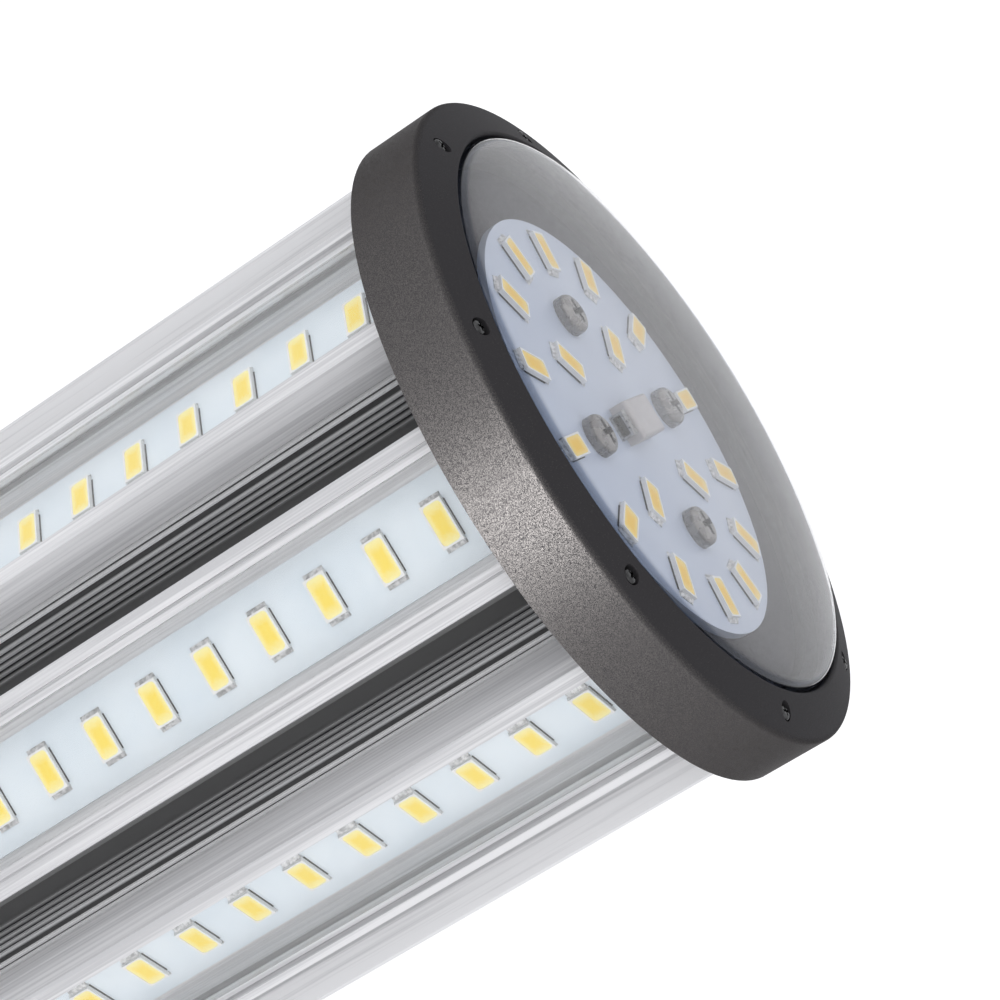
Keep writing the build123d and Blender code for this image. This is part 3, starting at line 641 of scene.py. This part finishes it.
# %% Lay out the end board's LEDs
end_low, end_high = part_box("end_leds")
outer_radius = end_high.x - led_long / 2
inner_radius = 14.0 * mm
places = []
for count, ring_radius, first in ((14, outer_radius, 0.0), (4, inner_radius, math.pi / 4)):
    for i in range(count):
        turn = Matrix.Rotation(first + math.tau * i / count, 4, "Z")
        places.append(turn @ Matrix.Translation((ring_radius, 0, end_low.z)))
end_materials = [finishes["led_package"], end_phosphor, solder, finishes["terminal_black"]]
make_piece("end_led_packages", copies_at(led, places), end_materials, "led_package", "end_leds")
print("end LEDs:", len(places), "outer ring radius", round(outer_radius / mm, 2), "mm")

# %% [markdown]
# ## The end board's screws
# Four pan-head screws hold the end board. A pan head is a turned shape, so its half section is
# spun about the screw's own axis. The driver's recess is a plus-shaped prism: a cube whose four
# sides are pushed out. A Boolean modifier cuts it away, and the result is kept as the mesh.

# %% Model the pan-head screws
def spun(points, steps):
    """A closed turned shape about Z, from (radius, height) points, in a new bmesh."""
    built = bmesh.new()
    verts = [built.verts.new((radius, 0, height)) for radius, height in points]
    edges = [built.edges.new(pair) for pair in zip(verts, verts[1:])]
    bmesh.ops.spin(
        built, geom=verts + edges, cent=(0, 0, 0), axis=(0, 0, 1), angle=math.tau, steps=steps,
        use_merge=True)
    bmesh.ops.remove_doubles(built, verts=built.verts, dist=0.001 * mm)
    bmesh.ops.recalc_face_normals(built, faces=built.faces)
    return built


def cut_away(mesh, tool):
    """The mesh with the tool's shape cut out of it."""
    blank = bpy.data.objects.new("blank", mesh)
    cutter = bpy.data.objects.new("cutter", tool)
    for item in (blank, cutter):
        bpy.context.scene.collection.objects.link(item)
    boolean = blank.modifiers.new("cut", "BOOLEAN")
    boolean.operation = "DIFFERENCE"
    boolean.solver = "EXACT"
    boolean.object = cutter
    shown = blank.evaluated_get(bpy.context.evaluated_depsgraph_get())
    result = bpy.data.meshes.new_from_object(shown)
    for item in (blank, cutter):
        bpy.data.objects.remove(item)
    return result


def cross_prism(length, width, depth, top):
    """A plus-shaped prism whose middle is at the height of the top."""
    built = bmesh.new()
    add_block(built, (width, width, 2 * depth), (0, 0, top))
    sides = [face for face in built.faces if abs(face.normal.z) < 0.5]
    for face in sides:
        pushed = bmesh.ops.extrude_discrete_faces(built, faces=[face])["faces"][0]
        push = pushed.normal * (length - width) / 2
        bmesh.ops.translate(built, vec=push, verts=list(pushed.verts))
    bmesh.ops.recalc_face_normals(built, faces=built.faces)
    return mesh_of(built, "cross")


def screw_mesh(head, shank, cross):
    """A screw whose head sits on z = 0.

    The head is (radius, height, radius of its rounded edge), the shank (radius, length), and the
    cross recess (length, width, depth).
    """
    head_radius, head_height, edge = head
    shank_radius, shank_length = shank
    points = [(0.0, head_height)]
    for step in range(6):
        angle = math.radians(90 - 18 * step)
        out, up = edge * math.cos(angle), edge * math.sin(angle)
        points.append((head_radius - edge + out, head_height - edge + up))
    points += [(head_radius, 0.0), (shank_radius, 0.0)]
    points += [(shank_radius, -shank_length), (0.0, -shank_length)]
    turned = mesh_of(spun(points, 32), "turned")
    return cut_away(turned, cross_prism(*cross, head_height))


def ring_of(count, radius, height, first=0.0):
    """Places on a circle about the lamp's axis, each turned outwards."""
    turns = [Matrix.Rotation(first + math.tau * i / count, 4, "Z") for i in range(count)]
    return [turn @ Matrix.Translation((radius, 0, height)) for turn in turns]


pan_head, pan_shank = (2.75 * mm, 1.9 * mm, 0.95 * mm), (1.3 * mm, 6.0 * mm)
pan_cross = (3.4 * mm, 0.8 * mm, 1.0 * mm)
pan_circle = 15.6 * mm
pan_screw = screw_mesh(pan_head, pan_shank, pan_cross)
pan_screws = copies_at(pan_screw, ring_of(4, pan_circle, end_low.z))
make_piece("pan_head_screws", pan_screws, [finishes["screw_steel"]], "screw_steel", "board_screws")
print("pan-head screw:", len(pan_screw.polygons), "faces")

# %% [markdown]
# ## The rings' screws
# Eight small black screws hold each ring, halfway between the strips. The same helper makes one of
# them. It is drawn a little higher in its recess than the solid's, so that its head catches the
# light. The cap end's screws are the head's, turned upside down.

# %% Model the rings' screws
small_head, small_shank = (1.1 * mm, 0.9 * mm, 0.55 * mm), (0.7 * mm, 4.0 * mm)
small_cross = (1.3 * mm, 0.34 * mm, 0.5 * mm)
screw_rise = 0.65 * mm
half_part = math.pi / strip_count
ring_screw = screw_mesh(small_head, small_shank, small_cross)
for name in ("head_screws", "base_screws"):
    low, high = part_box(name)
    top = (high.z if name == "head_screws" else -low.z) + screw_rise
    radius = (high.x - small_head[0]) / math.cos(half_part)
    seats = ring_of(strip_count, radius, top - small_head[1], half_part)
    placed = copies_at(ring_screw, seats)
    if name == "base_screws":
        bmesh.ops.transform(placed, matrix=Matrix.Rotation(math.pi, 4, "X"), verts=placed.verts)
    make_piece(name + "_detailed", placed, [black_zinc], "screw_steel", name)
print("ring screw:", len(ring_screw.polygons), "faces, on radius", round(radius / mm, 2), "mm")

# %% [markdown]
# ## The dome
# The dome is one injection moulding: a low crown, a rounded shoulder, an upright wall and a flange
# under the ring. Its crown is nearly flat in the middle and bends more and more towards the
# shoulder, which makes its reflections grow evenly brighter towards the far side. The section is
# spun about the lamp's axis as a single sheet, and solidify then gives the sheet its wall. The
# wall is drawn thin, so that the two faces of it don't show as two separate rims.

# %% Model the dome
def dome_section(crown_steps, shoulder_steps):
    """The dome's outer section as (radius, height) pairs, from the top down to the flange."""
    crown_radius, crown_drop, bend = 37.5 * mm, 3.2 * mm, 3.2
    wall_radius, wall_top = 40.0 * mm, dome_high.z - 5.2 * mm
    points = []
    for i in range(crown_steps + 1):
        share = math.sqrt(i / crown_steps)
        points.append((crown_radius * share, dome_high.z - crown_drop * share**bend))
    slope = bend * crown_drop / crown_radius
    edge = Vector(points[-1])
    knee = Vector((wall_radius, edge.y - slope * (wall_radius - crown_radius)))
    foot = Vector((wall_radius, wall_top))
    for i in range(1, shoulder_steps + 1):
        share = i / shoulder_steps
        points.append(tuple(edge.lerp(knee, share).lerp(knee.lerp(foot, share), share)))
    flange_top = dome_low.z + flange_thick
    points += [(wall_radius, flange_top), (dome_high.x, flange_top), (dome_high.x, dome_low.z)]
    return points


dome_wall, flange_thick = 0.3 * mm, 1.5 * mm
sharp_angle = math.radians(40)
dome = spun(dome_section(28, 10), 128)
if max(dome.faces, key=lambda face: face.calc_center_median().z).normal.z < 0:
    bmesh.ops.reverse_faces(dome, faces=dome.faces)
bmesh.ops.solidify(dome, geom=list(dome.faces), thickness=dome_wall)
bmesh.ops.recalc_face_normals(dome, faces=dome.faces)
for face in dome.faces:
    face.smooth = True
for edge in dome.edges:
    edge.smooth = edge.calc_face_angle(0.0) < sharp_angle
moulding = make_piece("dome_moulding", dome, [finishes["dome_clear"]], "dome_clear", "dome_cover")
heights = [round(vert.co.z / mm, 2) for vert in moulding.data.vertices]
print("dome:", len(moulding.data.polygons), "faces, z", min(heights), "to", max(heights))

# %% [markdown]
# ## The wire terminal
# The wires that feed the end board go into a small surface-mounted terminal: a warm white
# moulding with softened edges, and a bent metal cage with a dark mouth at its open end. The
# moulding is a block with its upper edges bevelled, and the cage is a block whose open end is
# inset and pushed in.

# %% Model the terminal
block_low, block_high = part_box("end_connector")
block_share = (0.92, 0.9, 0.92)
size = tuple((block_high[i] - block_low[i]) * block_share[i] for i in range(3))
centre = ((block_low.x + block_high.x) / 2, 0, block_low.z + size[2] / 2)
built = bmesh.new()
add_block(built, size, centre)
upper = [edge for edge in built.edges if all(vert.co.z > centre[2] for vert in edge.verts)]
bmesh.ops.bevel(
    built, geom=upper, affect="EDGES", offset=0.45 * mm, segments=3, profile=0.5, material=-1)
body_materials = [finishes["terminal_plastic"]]
make_piece("terminal_body", built, body_materials, "terminal_plastic", "end_connector")

cage_low, cage_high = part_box("connector_clip")
size = tuple(cage_high[i] - cage_low[i] for i in range(3))
centre = tuple((cage_high[i] + cage_low[i]) / 2 for i in range(3))
built = bmesh.new()
add_block(built, size, centre)
cage_wall, mouth_share = 0.35 * mm, 0.8
mouth = max(built.faces, key=lambda face: face.normal.x)
bmesh.ops.inset_region(built, faces=[mouth], thickness=cage_wall, use_even_offset=True)
pushed = bmesh.ops.extrude_discrete_faces(built, faces=[mouth])["faces"][0]
bmesh.ops.translate(built, vec=(-mouth_share * size[0], 0, 0), verts=list(pushed.verts))
pushed.material_index = 1
bmesh.ops.recalc_face_normals(built, faces=built.faces)
cage_materials = [finishes["terminal_metal"], finishes["terminal_black"]]
make_piece("terminal_cage", built, cage_materials, "terminal_metal", "connector_clip")
print("terminal and its cage added")

# %% [markdown]
# ## The floor and the backdrop
# The photograph has a clean white ground. The floor and the world are white to the camera, and
# to rays that come through the dome. Glossy rays see them a little darker, and the world a little
# cooler, as they would see the dim side of a studio. The floor still takes a shadow.

# %% Floor and world
def by_ray(tree, seen, glossy, diffuse):
    """One number for camera and transmitted rays, one for glossy rays, and one for the rest."""
    path = add(tree, "LightPath").outputs
    direct = sum_of(tree, "MAXIMUM", path["Is Camera Ray"], path["Is Transmission Ray"])
    rest = ramp(tree, path["Is Glossy Ray"], 0.0, 1.0, diffuse, glossy)
    return ramp(tree, direct, 0.0, 1.0, rest, seen), direct


def flat_piece(name, material, size):
    """Adds a level square on the ground that belongs to the studio."""
    built = bmesh.new()
    bmesh.ops.create_grid(built, x_segments=8, y_segments=8, size=size)
    mesh = mesh_of(built, name)
    mesh.materials.append(material)
    piece = bpy.data.objects.new(name, mesh)
    bpy.context.scene.collection.objects.link(piece)
    piece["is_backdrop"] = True


floor_material = bpy.data.materials.new("studio_floor")
floor_material.use_nodes = True
tree = floor_material.node_tree
shader = tree.nodes["Principled BSDF"]
shader.inputs["Base Color"].default_value = grey(0.82)
shader.inputs["Roughness"].default_value = 0.9
shader.inputs["Emission Color"].default_value = grey(1.0)
tree.links.new(by_ray(tree, 0.5, 0.6, 0.0)[0], shader.inputs["Emission Strength"])
flat_piece("floor", floor_material, 6.0)

world = bpy.data.worlds.new("studio")
bpy.context.scene.world = world
world.use_nodes = True
tree = world.node_tree
strength, direct = by_ray(tree, 1.0, 0.6, 0.78)
background = tree.nodes["Background"]
tree.links.new(strength, background.inputs["Strength"])
tree.links.new(blend(tree, direct, (0.96, 0.965, 1.0, 1.0), grey(1.0)), background.inputs["Color"])
print("floor and world ready")

# %% [markdown]
# ## The soft boxes
# A key stands beside the camera, and two wide fills stand 50 degrees off to its sides, so that
# their light reaches into the channels between the strips. A small box, low beside the camera,
# gives the dark rings their long soft highlight. In a studio, cards would keep its light off the
# bright strips and the fills' light off the rings. Light linking does that here: a collection
# that includes the rings goes to the small box, and one that excludes them goes to the fills.

# %% Soft boxes
lit_point = Vector((0, 0, 0.18))


def soft_box(name, direction, distance, size, power):
    """A rectangular area light that faces the lamp's head."""
    data = bpy.data.lights.new(name, "AREA")
    data.shape = "RECTANGLE"
    data.size, data.size_y = size
    data.energy = power
    light = bpy.data.objects.new(name, data)
    bpy.context.scene.collection.objects.link(light)
    light.location = lit_point + Vector(direction).normalized() * distance
    light.rotation_mode = "QUATERNION"
    light.rotation_quaternion = (-Vector(direction)).to_track_quat("-Z", "Y")
    return light


def ring_pieces(name, state):
    """A light-linking collection that includes or excludes the rings and the head's screws."""
    linked = bpy.data.collections.new(name)
    for piece in (nodes["head_ring"], nodes["base_ring"], bpy.data.objects["head_screws_detailed"]):
        linked.objects.link(piece)
    for item in linked.collection_objects:
        item.light_linking.link_state = state
    return linked


soft_box("key", (1.0, 0.14, 0.1), 1.1, (0.6, 0.5), 0.5)
glint = soft_box("glint", (1.0, 0.14, -0.12), 0.7, (0.35, 0.16), 6.2)
glint.light_linking.receiver_collection = ring_pieces("rings_only", "INCLUDE")
fills = (soft_box("high_fill", (0.8, -1.0, 0.35), 1.3, (0.8, 0.8), 1.0),
         soft_box("low_fill", (0.8, 1.0, 0.2), 1.3, (0.8, 0.8), 0.9))
all_but_rings = ring_pieces("all_but_rings", "EXCLUDE")
for fill in fills:
    fill.light_linking.receiver_collection = all_but_rings
bpy.context.scene.view_settings.view_transform = "Standard"

# %% [markdown]
# ## Measure and finish
# The box of the dressed lamp, without the studio's floor, is measured and printed. The dressed
# lamp has to stay in the CAD model's box.

# %% Measure the dressed lamp
low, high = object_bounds()
print("visual box:", tuple(low), tuple(high))
